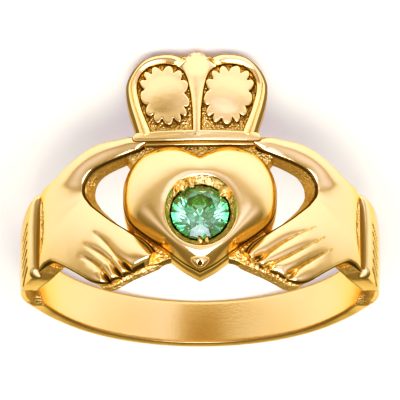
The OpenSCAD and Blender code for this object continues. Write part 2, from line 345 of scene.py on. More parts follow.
def polished_gold():
    """Buffed metal with fine wear, darkened by painted shade and grime in its crevices and along its edges.
    """
    f = Finish("polished_gold", Metallic=1.0, Specular_Tint=EDGE_GOLD)
    # Painted shade and grime darken the colour towards near-black brown and roughen the metal.
    shade_and_dirt = f.ramp(f.shade_and_grime(), 0.3, 1.0)
    f.set(f.shader, "Base Color", f.blend(shade_and_dirt, f.blend(f.clouds(1.6, 3), GOLD, WARM_GOLD), SHADE_AND_GRIME_BROWN))
    marks = f.clouds(0.09, 3, 0.6)
    f.set(f.shader, "Roughness", 0.13 + 0.08 * marks + 0.3 * shade_and_dirt)
    f.bump(f.clouds(1.1, 2) + 0.1 * marks, 0.012)
    return f.material


def satin_gold():
    """The inside of the band, which a finger has dulled."""
    f = Finish("satin_gold", Metallic=1.0, Specular_Tint=EDGE_GOLD)
    colour = f.blend(f.clouds(2.0, 3), GOLD, WARM_GOLD)
    # Painted shade and grime darken it towards near-black brown where the mesh is marked.
    f.set(f.shader, "Base Color", f.blend(f.ramp(f.shade_and_grime(), 0.2, 1.0), colour, SHADE_AND_GRIME_BROWN))
    marks = f.clouds(0.12, 3, 0.6)
    f.set(f.shader, "Roughness", 0.2 + 0.08 * marks)
    f.bump(marks, 0.006)
    return f.material


def cast_gold():
    """Metal as it leaves the mould, with pits and small lumps."""
    f = Finish("cast_gold", Metallic=1.0, Specular_Tint=EDGE_GOLD)
    pits = f.grains(0.12)
    lumps = f.clouds(0.16, 4, 0.65)
    colour = f.blend(f.ramp(lumps, 0.35, 0.65), DEEP_GOLD, GOLD)
    # Painted shade and grime darken it towards near-black brown where the mesh is marked.
    f.set(f.shader, "Base Color", f.blend(f.ramp(f.shade_and_grime(), 0.3, 1.0), colour, SHADE_AND_GRIME_BROWN))
    f.set(f.shader, "Roughness", 0.26 + 0.2 * lumps)
    f.bump(lumps + 0.6 * pits, 0.07)
    return f.material


def stippled_gold():
    """The sunk fields, punched with close fine pits."""
    f = Finish("stippled_gold", Metallic=1.0, Specular_Tint=EDGE_GOLD)
    pits = f.grains(0.13)
    lumps = f.clouds(0.1, 3, 0.6)
    f.set(f.shader, "Base Color", f.blend(f.ramp(pits + 0.3 * lumps, 0.35, 0.9), WARM_GOLD, DEEP_GOLD))
    f.set(f.shader, "Roughness", 0.22 + 0.16 * lumps)
    f.bump(1 - pits + 0.5 * lumps, 0.06)
    return f.material


def clear_green():
    """Pale under the table, with painted shade that turns it deep green towards the girdle."""
    f = Finish("clear_green", Transmission_Weight=1.0, Roughness=0.0, IOR=1.75)
    middle = REST @ Vector((0, -GIRDLE_R, SEAT_U))
    outwards = REST.to_3x3().normalized() @ Vector((0, -1, 0))
    offset = f.node("ShaderNodeVectorMath", {"operation": "SUBTRACT"}, {0: f.place(), 1: middle})
    across = f.node("ShaderNodeVectorMath", {"operation": "CROSS_PRODUCT"}, {0: offset, 1: outwards})
    away = f.node("ShaderNodeVectorMath", {"operation": "LENGTH"}, {0: across}, output="Value")
    pale = f.blend(f.clouds(0.9, 2), PALE_GREEN, PALEST_GREEN)
    # Painted shade: the colour darkens away from the stone's middle.
    f.set(f.shader, "Base Color", f.blend(f.ramp(away, 0.55 * MM, 1.35 * MM), pale, SHADED_GREEN))
    return f.material


POLISH = polished_gold()
SATIN = satin_gold()
ROUGH = cast_gold()
STIPPLE = stippled_gold()
GREEN = clear_green()


def painted(bm, finish_of):
    """Gives each face the finish that finish_of names for its middle, in the upright frame."""
    for face in bm.faces:
        face.material_index = finish_of(face.calc_center_median())


# How far the sleeves widen by the angle from the head, as shares of the widening: [degrees, share].
LEFT_SLEEVE_TOP = [
    [57, 0.85], [65, 1], [72, 0.8], [78, 0.54], [90, 0.28], [100, 0.14], [110, 0.06], [125, 0.04], [180, 0],
]
RIGHT_SLEEVE_TOP = [
    [57, 0.85], [65, 1], [72, 0.98], [80, 0.8], [90, 0.5], [100, 0.28], [110, 0.1], [125, 0.04], [180, 0],
]
SLEEVE_FOOT = [
    [57, 1], [63, 1.25], [70, 1.16], [80, 0.92], [90, 0.67], [100, 0.38], [110, 0.14], [125, 0.04], [180, 0],
]
# The thickness at the band's edges and along its middle: [degrees, millimetres].
EDGE_T = [[57, 0.84], [60, 0.86], [64, 0.96], [80, 0.92], [95, 0.8], [110, 0.6], [125, 0.5], [180, 0.5]]
MIDDLE_T = [
    [57, 0.9], [60, 0.92], [64, 1.18], [67, 1.2], [75, 1.045], [90, 0.95], [110, 0.93], [140, 0.95],
    [180, 1.05],
]


def smooth_table(table, x):
    """As look_up, rounded off over a few degrees."""
    return sum(look_up(x + d, table) for d in (-4, -2, 0, 2, 4)) / 5


def band():
    """The band and its sleeves: a section that is spun round the finger and then shaped by its angle."""
    bm = bmesh.new()
    # The section as (share of the half width, height): 0 is the inside, 1 the edge's top, 2 the crest.
    corner = [(-0.97, 0), (-0.99, 0.03), (-1, 0.1), (-1, 0.4), (-1, 0.75)]
    crest = [(-0.998, 1.08), (-0.99, 1.2), (-0.975, 1.31), (-0.95, 1.42)]
    crest += [(-k / 24, 1 + (1 - (k / 24) ** 2) ** 0.4) for k in range(22, 0, -1)]
    section = corner + crest + [(0, 2)] + [(-a, h) for a, h in reversed(corner + crest)]
    section += [(k / 6, 0) for k in range(5, -6, -1)]
    ring = [bm.verts.new(at(BAND_START, a, FINGER_R + h)) for a, h in section]
    edges = [bm.edges.new((ring[i - 1], ring[i])) for i in range(len(ring))]
    span = 360 - 2 * BAND_START
    bmesh.ops.spin(
        bm, geom=ring + edges, cent=(0, 0, 0), axis=(0, 0, 1),
        angle=math.radians(span), steps=2 * span, use_merge=False,
    )
    shade_and_grime = bm.verts.layers.float.new("shade_and_grime")
    folds = [
        [unrolled(a, 0.95 - 0.5 * k - 0.075 * (a - 69), SIDE_R) for a in (69, 73, 77)]
        for k in range(6)
    ]
    for v in bm.verts:
        angle = math.degrees(math.atan2(v.co.x, -v.co.y)) % 360
        right = angle < 180
        s = min(angle, 360 - angle)
        h, across = v.co.xy.length - FINGER_R, v.co.z
        # Painted shade: a dark line along the band's inner corners.
        v[shade_and_grime] = 0.65 * (h < 0.12 and abs(across) > 0.965)
        widen = SLEEVE_HALF - BAND_HALF
        foot = -BAND_HALF - widen * smooth_table(SLEEVE_FOOT, s)
        top = BAND_HALF + widen * smooth_table(RIGHT_SLEEVE_TOP if right else LEFT_SLEEVE_TOP, s)
        edge, middle = smooth_table(EDGE_T, s), smooth_table(MIDDLE_T, s)
        u = mix(foot, top, (across + 1) / 2)
        r = FINGER_R + min(h, 1) * edge + max(h - 1, 0) * (middle - edge)
        if h > 1.2 and 66 < s < 80:
            for line in folds:
                d, _ = from_line(unrolled(s, u, SIDE_R), line)
                cut = math.exp(-((d / 0.1) ** 2)) * step(67.5, 70, s) * step(79, 76.5, s)
                r -= 0.17 * cut
                # Painted shade and grime darken the folds.
                v[shade_and_grime] = max(v[shade_and_grime], 0.6 * cut)
        # The sleeve's foot has a rough bite in its inner corner, where it turns into the band, darkened with
        # painted shade and grime.
        bite = step(80, 84, s) * step(106, 98, s) * step(-0.8, -1, across) * step(0.9, 0.3, h)
        if bite > 0:
            u += 0.55 * bite
            v[shade_and_grime] = 0.35 * bite
            r += rough(v.co, 0.13, 0.07) * bite * step(0, 0.2, h)
        v.co = at(angle, u, r)

    bmesh.ops.holes_fill(bm, edges=[e for e in bm.edges if e.is_boundary], sides=0)

    def finish(p):
        s = abs(math.degrees(math.atan2(p.x, -p.y)))
        r = p.xy.length
        if s < BAND_START + 0.2:
            return CAST
        if r < FINGER_R + 0.01:
            return WORN
        bite = 81 < s < 105 and p.z < -1.1 and FINGER_R + 0.02 < r < FINGER_R + 0.6
        arch = s < 60.5 and p.z < -1.5 and r > FINGER_R + 0.05
        return CAST if bite or arch else POLISHED

    painted(bm, finish)
    finished("band", bm, [POLISH, ROUGH, SATIN])


# Pairs of places on the two edges of a hand, from the thumb's tip round the gap to the fingertips:
# [angle, height] beside the gap, and [angle, height] on the outside.
HAND = [
    [16.0, 2.95, 16.0, 3.2], [19, 2.68, 18.5, 3.44], [21.5, 2.6, 22, 3.6], [25, 2.48, 26, 3.57],
    [29, 2.35, 31, 3.56], [33, 2.2, 35.5, 3.46], [35.5, 2.07, 40, 3.2], [37.5, 1.85, 46, 2.78],
    [38.8, 1.55, 52, 2.34], [39.2, 1.25, 60, 2.0], [39.1, 1.0, 63.6, 0.6], [38.6, 0.8, 63.8, -0.8],
    [38, 0.65, 63.4, -2.2], [37.2, 0.48, 57, -2.16], [36, 0.22, 52.5, -2.26], [34.3, -0.05, 48, -2.68],
    [32, -0.4, 44, -3.12], [29, -0.85, 40, -3.6], [26, -1.25, 36.5, -4.02], [22.5, -1.68, 32.5, -4.3],
    [19, -2.1, 28.5, -4.24], [16.3, -2.46, 24, -4.0], [14.3, -2.85, 20, -3.8], [13.6, -3.1, 16, -3.55],
]
# How thick a hand is: [degrees from the head, millimetres].
HAND_THICK = [[12, 1.27], [20, 1.36], [30, 1.4], [44, 1.38], [54, 1.3], [66, 1.1]]
# The lines between the fingers, from the knuckles to the tips: [angle, height].
LEFT_LINES = [
    [[35.5, -1.2], [32.2, -1.77], [29, -2.41], [26, -3.12], [22.4, -3.83]],
    [[38.9, -1.76], [34.6, -2.39], [31.3, -2.83], [28.5, -3.26], [25.6, -4.08]],
    [[40.7, -2.45], [37.1, -2.8], [34.5, -3.16], [32, -3.57], [30, -4.15]],
]
RIGHT_LINES = [
    [[37, -1.07], [31.2, -1.67], [26, -2.28], [21.5, -2.89], [17.7, -3.4]],
    [[40.5, -1.5], [34, -2.29], [27.7, -3.01], [23.7, -3.44], [21.1, -3.8]],
    [[43.5, -2.06], [37.7, -2.75], [32.9, -3.33], [28.6, -4.0]],
]
# The middle of the sunk strip beside the cuff: [angle, height].
CUFF_STRIP = [[58.6, 1.45], [57.6, 0.9], [57.1, 0.2], [57.1, -0.6], [57.8, -1.35]]


def hand(name, side, lines, narrow, soft):
    """A hand with its thumb and fingers; soft is 1 for the left hand's full fingers, 0 for the right's."""
    lines = [[unrolled(a, u) for a, u in line] for line in lines]
    strip = [unrolled(a, u) for a, u in CUFF_STRIP]
    along, middle, rim, wall, under = 14 * (len(HAND) - 1), 92, 6, 6, 6
    top_end = wall + 2 * rim + middle
    across = top_end + wall + under
    back = FINGER_R + 0.012
    tip_share = 0.012

    def place(i, j):
        t = i / along
        ai, ui, ao, uo = curve(HAND, t)
        width = (unrolled(ao, uo) - unrolled(ai, ui)).length
        near_tip = step(0.86, 1.0, t)
        round_in = min(mix(0.13, 0.2, near_tip), 0.42 * width)
        round_out = min(mix(0.24, 0.42, near_tip), 0.42 * width)
        wall_in = j <= wall
        wall_out = j >= top_end
        # f goes from the gap's edge to the outer one, and lift from the finger's surface to the top.
        if wall_in:
            f, drop, lift = 0, round_in, j / wall
        elif j <= wall + rim:
            q = (j - wall) / rim * math.pi / 2
            f, drop, lift = round_in * (1 - math.cos(q)) / width, round_in * (1 - math.sin(q)), 1
        elif j <= wall + rim + middle:
            k = (j - wall - rim) / middle
            f, drop, lift = mix(round_in, width - round_out, k) / width, 0, 1
        elif not wall_out:
            q = (j - wall - rim - middle) / rim * math.pi / 2
            f, drop, lift = 1 - round_out * (1 - math.sin(q)) / width, round_out * (1 - math.cos(q)), 1
        elif j <= top_end + wall:
            f, drop, lift = 1, round_out, 1 - (j - top_end) / wall
        else:
            f, drop, lift = 1 - (j - top_end - wall) / under, 0, 0
        angle, u = mix(ai, ao, f), mix(ui, uo, f)
        r = FINGER_R + look_up(angle, HAND_THICK)
        p = unrolled(angle, u)
        shade_and_grime = 0
        # The thumb and the fingers are rounded across, and the palm is nearly flat.
        arm = min(1 - step(0.08, 0.42, t) + step(0.55, 0.85, t), 1)
        r -= mix(0.13, 0.27, arm) * (2 * f - 1) ** 2 + 0.24 * (1 - arm) * (1 - f) ** 4
        if t > 0.45:
            for line in lines:
                d, s = from_line(p, line)
                grown = step(0, 0.5, s) * mix(0.45, 1, s)
                r -= 0.17 * grown * math.exp(-((d / 0.27) ** 2))
                thin = math.exp(-((d / narrow) ** 2)) * step(0.05, 0.3, s)
                deep = step(0.78, 1, s) * math.exp(-((d / 0.14) ** 2))
                r -= mix(0.05, 0.11, s) * thin + 0.3 * deep
                # Painted shade and grime darken the lines between the fingers, most in the gaps at their
                # tips.
                gap = step(0.74, 0.9, s) * math.exp(-((d / 0.12) ** 2))
                shade_and_grime = max(shade_and_grime, 1.1 * gap if soft else 1.2 * deep, 0.55 * thin * mix(1, s, soft))
        d, s = from_line(p, strip)
        sunk = step(0.19, 0.12, d / max(math.sin(math.pi * s), 0.05) ** 0.6) if t < 0.75 else 0
        grain = rough(Vector((p.x, p.y, 0)), 0.12, 1)
        r -= (0.13 + 0.05 * grain) * sunk
        # Painted shade and grime darken the sunk strip.
        shade_and_grime = max(shade_and_grime, (0.62 + 0.5 * grain) * sunk)
        r = mix(back, r - drop, lift) if lift < 1 else r - drop
        r = max(r, back)
        spot = at(angle, u, r)
        # Painted shade: a dark line follows both edges of the hand.
        if (wall <= j <= wall + 4 or top_end - 3 <= j <= top_end) and 0.02 < t < 0.98:
            shade_and_grime = max(shade_and_grime, 0.9)
        if (wall_in or wall_out) and 0 < lift:
            spot += rough(spot, 0.17, 0.03) * spot.normalized()
        # Both ends close on the middle of their last section.
        for end in (t, 1 - t):
            if end < tip_share:
                k = math.sqrt(max(1 - (1 - end / tip_share) ** 2, 0))
                centre = at(mix(ai, ao, 0.5), mix(ui, uo, 0.5), FINGER_R + 0.6)
                spot = centre.lerp(spot, k)
        spot.x *= side
        return spot, shade_and_grime

    bm = sheet(along, across, place)

    def finish(p):
        s = abs(math.degrees(math.atan2(p.x, -p.y)))
        r = p.xy.length
        flat = unrolled(s, p.z)
        d, k = from_line(flat, strip)
        on_top = r > FINGER_R + 0.65
        if on_top and d < 0.17 * max(math.sin(math.pi * k), 0.05) ** 0.6:
            return CAST
        if on_top and not soft and any(from_line(flat, line)[0] < 0.07 for line in lines):
            return CAST
        top = FINGER_R + look_up(s, HAND_THICK) - 0.3
        return CAST if back + 0.01 < r < top - (0.3 if soft else 0.05) else POLISHED

    painted(bm, finish)
    finished(name, bm, [POLISH, ROUGH])


# A cuff's rolled rim: [angle, height, how far its middle is sunk, half its width].
CUFF_RIM = [
    [60.4, 2.1, 0.28, 0.16], [61.2, 1.86, 0.12, 0.3], [62.6, 1.35, 0.04, 0.38], [63.4, 0.6, 0.02, 0.42],
    [63.8, -0.2, 0.02, 0.43], [63.9, -1.1, 0.02, 0.43], [63.6, -1.9, 0.03, 0.4], [63, -2.3, 0.08, 0.34],
    [62.2, -2.52, 0.3, 0.16],
]


def cuff(name, side):
    """The rolled rim at a wrist."""
    along, round_about = 120, 28

    def place(i, j):
        t = i / along
        a, u, sunk, half = curve(CUFF_RIM, t)
        ahead, behind = curve(CUFF_RIM, min(t + 0.01, 1)), curve(CUFF_RIM, max(t - 0.01, 0))
        middle = at(a, u, FINGER_R + HAND_T - 0.27 - sunk)
        run = (at(*ahead[:2], 9.8) - at(*behind[:2], 9.8)).normalized()
        out = Vector((middle.x, middle.y, 0)).normalized()
        beside = run.cross(out).normalized()
        taper = math.sqrt(max(1 - (2 * t - 1) ** 8, 0))
        q = 2 * math.pi * j / round_about
        spot = middle + taper * (half * math.cos(q) * beside + min(half, 0.3) * math.sin(q) * out)
        spot.x *= side
        # Painted shade darkens the rim at its lower end and along its foot.
        return spot, 0.75 * max(step(0.8, 0.92, t), step(0.75, 0.4, math.sin(q)))

    finished(name, sheet(along, round_about, place), [POLISH, ROUGH])


# The heart's half outline as [share of its half width, share of its height], from the cleft to the tip.
HEART = [
    [0, 0.911], [0.138, 0.954], [0.263, 0.986], [0.4, 1], [0.55, 0.991], [0.7, 0.96], [0.825, 0.91],
    [0.925, 0.834], [0.985, 0.746], [1, 0.653], [0.985, 0.546], [0.925, 0.446], [0.788, 0.357],
    [0.6, 0.263], [0.4, 0.166], [0.2, 0.069], [0, 0],
]
# From the dome's rim down to the crevice round the stone, with painted shade and grime darkening the crevice:
# [how far inwards from the mouth, distance from the finger's axis, painted shade and grime].
MOUTH = [
    [0, 11.28, 0], [0.015, 11.26, 0], [0.04, 11.19, 0], [0.1, 11.09, 0], [0.18, 11.0, 0.1],
    [0.25, 10.94, 0.2], [0.3, 10.9, 0.4], [0.33, 10.84, 1], [0.34, 10.6, 1], [0.4, 10.45, 1],
]


def heart_point(x, u):
    return Vector((HEART_HALF * x, HEART_TIP + HEART_H * u))


def heart():
    """The domed heart with its straight wall, the stone's seat and the seat's open back."""
    count = 288
    loop = both_halves(outline([heart_point(x, u) for x, u in HEART], count // 2 + 1, closed=False))
    centre = Vector((0, SEAT_U))
    wall, dome, mouth, cone, hole, under = 14, 30, len(MOUTH), 4, 3, 6
    # The ledge's inner and outer edges are so far from the stone's middle, and the ledge is so wide.
    ledge_in, ledge_out, ledge = 1.56, 1.89, 0.33
    cone_r, cone_top, cone_foot = 1.45, 10.4, 9.9

    def mouth_r(away):
        """The mouth isn't quite round: its distance from the stone's middle, by the direction."""
        return MOUTH_R - 0.04 + 0.05 * away.x + 0.13 * away.y**2

    # How far the outline lies from the stone's middle, as it is and evened out over its neighbours.
    reach = [(q - centre).length for q in loop]
    near = range(-26, 27)
    even = [sum(reach[(i + k) % count] for k in near) / len(near) for i in range(count)]

    def rim_at(t, q, i):
        """A ring of the dome: t is 1 at the heart's edge and 0 at the seat's mouth."""
        d = q - centre
        level = min(mix(t * reach[i] / even[i], t, step(0.3, 1, t)), 1)
        swell = (1 - level**2.6) ** 0.6
        p = centre + d.normalized() * mix(mouth_r(d.normalized()) + 0.05, d.length, t)
        return p, mix(HEART_RIM_R, SEAT_RIM_R, swell)

    def place(i, j):
        q = loop[i % count]
        away = (q - centre).normalized()
        if j <= wall:
            groove = math.exp(-(((j / wall - 0.64) / 0.09) ** 2))
            p = q - 0.09 * groove * away
            # Painted shade: a dark line in the wall's groove and along its top, where the dome begins.
            shade_and_grime = max(0.9 * groove, 0.95 * (j >= wall - 1))
            return on_drum(p.x, p.y, mix(FINGER_R, HEART_RIM_R, j / wall)), shade_and_grime
        j -= wall
        if j <= dome:
            p, r = rim_at(math.cos(j / dome * math.pi / 2) ** 0.7, q, i % count)
            flat = -math.sqrt(HEART_RIM_R**2 - p.x**2)
            share = (r - HEART_RIM_R) / (SEAT_RIM_R - HEART_RIM_R)
            # Painted shade carries the dark line round the dome's edge.
            return Vector((p.x, mix(flat, -SEAT_RIM_R, share), p.y)), 0.9 * (j <= 3)
        j -= dome
        if j <= mouth:
            inwards, r, shade_and_grime = MOUTH[j - 1]
            share = 1 - inwards / ledge if inwards < ledge else 0
            p = centre + away * (mix(ledge_in, mouth_r(away), share) if share else ledge_out - inwards)
            spot = Vector((p.x, -r, p.y))
            if 2 < j < 8:
                spot += away.to_3d().xzy * rough(spot, 0.28, 0.07)
            return spot, shade_and_grime
        j -= mouth
        if j <= cone:
            p = centre + away * mix(cone_r, BACK_HOLE_R, j / cone)
            # Painted shade, darkest at the cone's top beside the crevice.
            return Vector((p.x, -mix(cone_top, cone_foot, j / cone), p.y)), step(1, 0, j / cone)
        j -= cone
        p = centre + away * BACK_HOLE_R
        if j <= hole:
            return on_drum(p.x, p.y, mix(cone_foot, FINGER_R, j / hole))
        p = p.lerp(q, (j - hole) / under)
        return on_drum(p.x, p.y, FINGER_R)

    bm = sheet(count, wall + dome + mouth + cone + hole + under, place)

    def finish(p):
        out = (Vector((p.x, p.z)) - centre).length
        return CAST if out < MOUTH_R + 0.1 and -SEAT_RIM_R + 0.1 < p.y < -9.2 else POLISHED

    painted(bm, finish)
    finished("heart", bm, [POLISH, ROUGH], sharp=35)


def nub():
    """The rounded nose at the heart's tip, with its small hole, which painted shade darkens."""
    bm = bmesh.new()
    bmesh.ops.create_icosphere(bm, subdivisions=5, radius=1)
    shade_and_grime = bm.verts.layers.float.new("shade_and_grime")
    slope = Matrix.Rotation(math.radians(34), 4, "X")
    for v in bm.verts:
        side, out, along = v.co.x, -v.co.y, v.co.z
        narrow = mix(0.62, 1, step(-1, 0.6, along))
        off = math.hypot(side * 0.55 * narrow / 0.11, (along + 0.15) * 0.5 / 0.17)
        hole = step(1.2, 0.8, off) if out > 0 else 0
        # Painted shade in the hole and round the back, where the nub meets the heart.
        v[shade_and_grime] = max(1.3 * hole, 0.8 * step(0.5, 0.2, out))
        v.co = slope @ Vector((side * 0.57 * narrow, -out * 0.5 + 0.1 * hole, along * 0.42))
        v.co += Vector((0, -10.66, HEART_TIP + 0.42))
    finished("nub", bm, [POLISH, ROUGH])


def claw(name, azimuth, size, stretch):
    """A rough bead of metal at the stone's edge, drawn out from the stone's middle."""
    bm = bmesh.new()
    bmesh.ops.create_icosphere(bm, subdivisions=4, radius=size)
    a = math.radians(azimuth)
    out = Vector((math.cos(a), 0, math.sin(a)))
    for v in bm.verts:
        v.co += rough(v.co + out * 3, 0.16, 0.07) * v.co.normalized()
        v.co += out * (stretch - 1) * v.co.dot(out)
        v.co += out * 1.68 + Vector((0, -(GIRDLE_R + 0.27), SEAT_U))
    painted(bm, lambda p: CAST)
    finished(name, bm, [POLISH, ROUGH])


def lump(name, angle, u, r, size):
    """A small lump that the mould left."""
    bm = bmesh.new()
    bmesh.ops.create_icosphere(bm, subdivisions=3, radius=size)
    for v in bm.verts:
        v.co += rough(v.co + Vector((angle, u, 0)), 0.12, 0.05) * v.co.normalized()
        v.co += at(angle, u, r)
    painted(bm, lambda p: CAST)
    finished(name, bm, [POLISH, ROUGH])


def plate(
    name, loop, centre, back, top, edge, finishes, rings, wall=POLISHED, face=POLISHED, dome=0.0, bumps=0.0
):
    """A flat outline that follows the finger, from the height back to the height top above its hole.

    Its edge is rounded, its wall and its face have their own finishes, and the face may be domed or bumpy.
    """
    count = len(loop)
    r_back, r_top = FINGER_R + back, FINGER_R + top
    rim, side, under = 4, 3, 6
    reach = min((q - centre).length for q in loop)

    def place(i, j):
        q = loop[i % count]
        # Painted shade darkens the side wall and the lower part of the rounded edge.
        if j <= side:
            return on_drum(q.x, q.y, mix(r_back, r_top - edge, j / side)), 0.75
        j -= side
        if j <= rim:
            k = j / rim * math.pi / 2
            p = inset_loops[j][i % count]
            return on_drum(p.x, p.y, r_top - edge * (1 - math.sin(k))), 0.75 * (j < 3)
        j -= rim
        if j <= rings:
            k = j / rings
            p = inset_loops[rim][i % count].lerp(centre, k)
            spot = on_drum(p.x, p.y, r_top + dome * (1 - min((p - centre).length / reach, 1) ** 2))
            return spot + spot.normalized() * rough(spot, 0.13, bumps) * step(0, 0.1, k)
        p = centre.lerp(q, (j - rings - 1) / (under - 1))
        return on_drum(p.x, p.y, r_back)

    inset_loops = [
        inset(loop, edge * (1 - math.cos(k / rim * math.pi / 2))) if k else loop for k in range(rim + 1)
    ]
    bm = sheet(count, side + rim + rings + under, place)
    painted(bm, lambda p: face if p.xy.length > r_top - 0.5 * edge else wall)
    finished(name, bm, finishes, sharp=50)


# Pairs of places on the crown's frame as shares of its half width and height:
# [x, u] beside the panel and [x, u] on the outside, from the middle of the base up the post and round.
FRAME = [
    [0.071, 0.08, 0, 0.06], [0.073, 0.2, 0, 0.2], [0.078, 0.36, 0, 0.36], [0.098, 0.521, 0, 0.53],
    [0.136, 0.686, 0, 0.7], [0.19, 0.785, 0, 0.86], [0.25, 0.832, 0, 0.993], [0.31, 0.858, 0.108, 0.982],
    [0.36, 0.869, 0.178, 0.928], [0.41, 0.877, 0.231, 0.957], [0.46, 0.882, 0.34, 0.99],
    [0.53, 0.883, 0.489, 1.0], [0.62, 0.873, 0.652, 0.988], [0.7, 0.85, 0.802, 0.938],
    [0.78, 0.8, 0.93, 0.839], [0.836, 0.7, 0.997, 0.717], [0.838, 0.6, 1.0, 0.593],
    [0.8, 0.45, 0.962, 0.438], [0.74, 0.3, 0.902, 0.273], [0.675, 0.17, 0.85, 0.13], [0.64, 0.09, 0.82, 0.05],
]
# Right halves of the crown's sunk floor, its base bar and the lip under the bar, in the same shares: [x, u].
CROWN_FLOOR = [
    [0.0, 0.1], [0.55, 0.1], [0.72, 0.12], [0.8, 0.28], [0.87, 0.44], [0.92, 0.59], [0.92, 0.72],
    [0.86, 0.82], [0.74, 0.91], [0.49, 0.95], [0.3, 0.94], [0.12, 0.92], [0.0, 0.94],
]
CROWN_BAR = [
    [0.0, -0.036], [0.3, -0.033], [0.6, -0.02], [0.82, -0.004], [0.9, 0.012], [0.915, 0.045],
    [0.905, 0.08], [0.85, 0.105], [0.7, 0.105], [0.4, 0.1], [0.0, 0.098],
]
CROWN_LIP = [
    [0.0, -0.072], [0.3, -0.068], [0.6, -0.052], [0.82, -0.034], [0.87, -0.015], [0.86, 0.01],
    [0.7, 0.02], [0.4, 0.02], [0.0, 0.02],
]


def crown_point(x, u):
    return Vector((CROWN_X + CROWN_HALF * x, CROWN_FOOT + CROWN_H * u))


def crown_loop(half, count):
    return both_halves(outline([crown_point(x, u) for x, u in half], count, closed=False), CROWN_X)


def crown_frame(name, side):
    """Half of the crown's frame: the post's half, a lobe and the side down to the bar."""
    along, wall, rim, middle, under = 12 * (len(FRAME) - 1), 4, 5, 22, 4
    top_end = wall + 2 * rim + middle
    across = top_end + wall + under
    r_top = FINGER_R + 1.37
    r_back = FINGER_R + 0.1
    notch = Vector((0.56, CROWN_FOOT + 0.972 * CROWN_H))

    def place(i, j):
        t = i / along
        xi, ui, xo, uo = curve(FRAME, t)
        inner = Vector((CROWN_HALF * xi, CROWN_FOOT + CROWN_H * ui))
        outer = Vector((CROWN_HALF * xo, CROWN_FOOT + CROWN_H * uo))
        width = max((outer - inner).length, 0.01)
        # 1 on the post and 0 round the lobe, and 1 on the crown's side and 0 over the lobe.
        post = step(0.13, 0.01, xo)
        flange = step(0.6, 0.72, t)
        edge_in = min(0.09, 0.3 * width)
        edge_out = mix(0.14, 0.3, flange) * (1 - post)
        if j <= wall:
            f, r = 0, mix(r_back, r_top - edge_in, j / wall)
        elif j <= wall + rim:
            q = (j - wall) / rim * math.pi / 2
            f, r = edge_in * (1 - math.cos(q)) / width, r_top - edge_in * (1 - math.sin(q))
        elif j <= wall + rim + middle:
            k = (j - wall - rim) / middle
            f, r = mix(edge_in, width - edge_out, k) / width, r_top
        elif j <= top_end:
            q = (j - wall - rim - middle) / rim
            f = 1 - edge_out * (1 - q) / width
            # A sloping border runs down the crown's two sides, and a plain round edge over the lobes.
            slope = mix(1 - math.cos(q * math.pi / 2), mix(0, 0.5, step(0, 0.3, q)) + 0.5 * q, flange)
            r = r_top - mix(0.14, 0.3, flange) * slope * (1 - post)
        elif j <= top_end + wall:
            f, r = 1, mix(r_top - edge_out, r_back, (j - top_end) / wall)
        else:
            f, r = 1 - (j - top_end - wall) / under, r_back
        p = inner.lerp(outer, f)
        if wall < j <= wall + rim + middle:
            r += 0.17 * math.sin(math.pi * f) * (1 - post) + post * (0.15 - 0.22 * (1 - f) ** 2)
            r -= 0.17 * post * step(0.7, 1.05, (p.y - CROWN_FOOT) / CROWN_H)
        # A pit between the middle hump and the lobe.
        r = max(r - 0.3 * math.exp(-(((p - notch).length / 0.13) ** 2)), r_back)
        # Painted shade: dark lines along the frame's inner edge and, off the post, along its outer edge.
        line = 0.85 * (wall <= j <= wall + 2) + 0.8 * (top_end - 2 <= j <= top_end + 1) * (1 - post)
        return on_drum(CROWN_X + side * p.x, p.y, r), line

    bm = sheet(along, across, place)
    finished(name, bm, [POLISH, ROUGH], sharp=35)


def crown():
    """The crown: its sunk floor, the frame's halves, the base bar with its lip and the two raised plates."""
    plate("crown_floor", crown_loop(CROWN_FLOOR, 90), crown_point(0, 0.5), 0.006, 0.95, 0.05,
          [POLISH, STIPPLE], rings=40, face=CAST, bumps=0.03)
    crown_frame("crown_frame_left", -1)
    crown_frame("crown_frame_right", 1)
    plate("crown_bar", crown_loop(CROWN_BAR, 60), crown_point(0, 0.062), 0.1, 1.45, 0.12,
          [POLISH, ROUGH], rings=6, dome=0.04)
    plate("crown_lip", crown_loop(CROWN_LIP, 60), crown_point(0, -0.03), 0.1, 1.2, 0.1,
          [POLISH, ROUGH], rings=6)
    island("island_left", -1)
    island("island_right", 1)


def island(name, side):
    """A raised field with a scalloped edge, leaning outwards at its top."""
    count = 312
    centre = crown_point(side * 0.45, 0.525)
    half_wide, half_high, square = 1.33, 1.69, 0.82
    loop = []
    for i in range(count):
        q = 2 * math.pi * i / count
        lobes = 0.77 + 0.24 * abs(math.sin(6.5 * q + 0.4 + 0.35 * math.sin(2 * q + side))) ** 0.62
        x = half_wide * math.copysign(abs(math.sin(q)) ** square, math.sin(q))
        u = half_high * math.copysign(abs(math.cos(q)) ** square, math.cos(q))
        wider = mix(0.9, 1.04, (u + 1.7) / 3.4)
        loop.append(centre + Vector((side * (x * wider + 0.13 * u), u)) * lobes)
    plate(name, loop, centre, 0.8, 1.32, 0.08, [POLISH, STIPPLE], rings=12, dome=0.03)


# The sunk metal between the crown and the heart, as [share of the crown's half width, height],
# and beside the heart's right flank, as shares of the heart's half width and height.
WEB_ABOVE = [
    [-0.98, 3.3], [-1.06, 2.75], [-0.95, 2.0], [-0.7, 1.4], [0, 1.3], [0.7, 1.4],
    [0.95, 2.0], [1.06, 2.75], [0.98, 3.3], [0.5, 3.4], [0, 3.4], [-0.5, 3.4],
]
WEB_FLANK = [[0.25, 0.2], [0.46, 0.14], [0.6, 0.117], [0.9, 0.131], [1.02, 0.26], [0.82, 0.4], [0.6, 0.42]]


